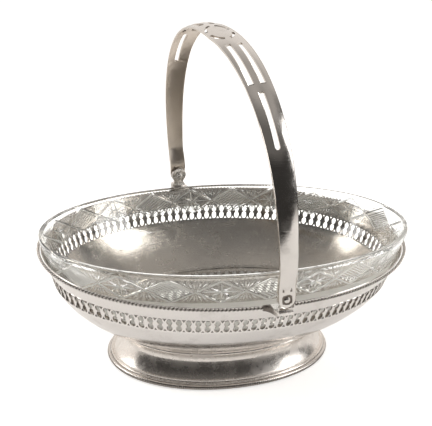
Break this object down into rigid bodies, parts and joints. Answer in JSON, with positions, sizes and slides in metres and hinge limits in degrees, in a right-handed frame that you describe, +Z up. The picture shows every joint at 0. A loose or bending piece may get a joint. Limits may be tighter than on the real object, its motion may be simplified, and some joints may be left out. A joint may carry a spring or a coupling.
{
  "type": "swing-handled basket",
  "caption": "Oval footed basket with a pierced gallery, twisted rim wire, domed swing handle on riveted lugs and a loose glass liner.",
  "frame": {"origin": "middle of the foot's underside, on the surface the basket stands on", "axes": "+Z up, X along the bowl's long axis, Y along its short axis, on which the two hinges lie"},
  "size_m": [0.303, 0.2616, 0.2706],
  "materials": {
    "plate": "polished silver plate with fine wear",
    "wire": "silver-plated twisted wire, darker in its hollows",
    "hinge": "silver-plated casting, a little duller",
    "glass": "clear cut glass"
  },
  "bodies": {
    "basket": {"bowl": "plate", "rim_wire_left": "wire", "rim_wire_right": "wire", "foot": "plate", "foot_border": "wire", "lug_near": "hinge", "lug_far": "hinge", "rivet_near": "hinge", "rivet_far": "hinge", "washer_near": "hinge", "washer_far": "hinge"},
    "bail": {"handle": "plate"},
    "liner": {"glass_liner": "glass"}
  },
  "joints": [
    {"name": "handle_swing", "type": "hinge", "parent": "basket", "child": "bail", "pos_m": [0, 0, 0.1079], "axis": [0, 1, 0], "range_deg": [-87, 97]},
    {"name": "liner_lift", "type": "slide", "parent": "basket", "child": "liner", "axis": [0, 0, 1], "range_m": [0, 0.045]}
  ]
}
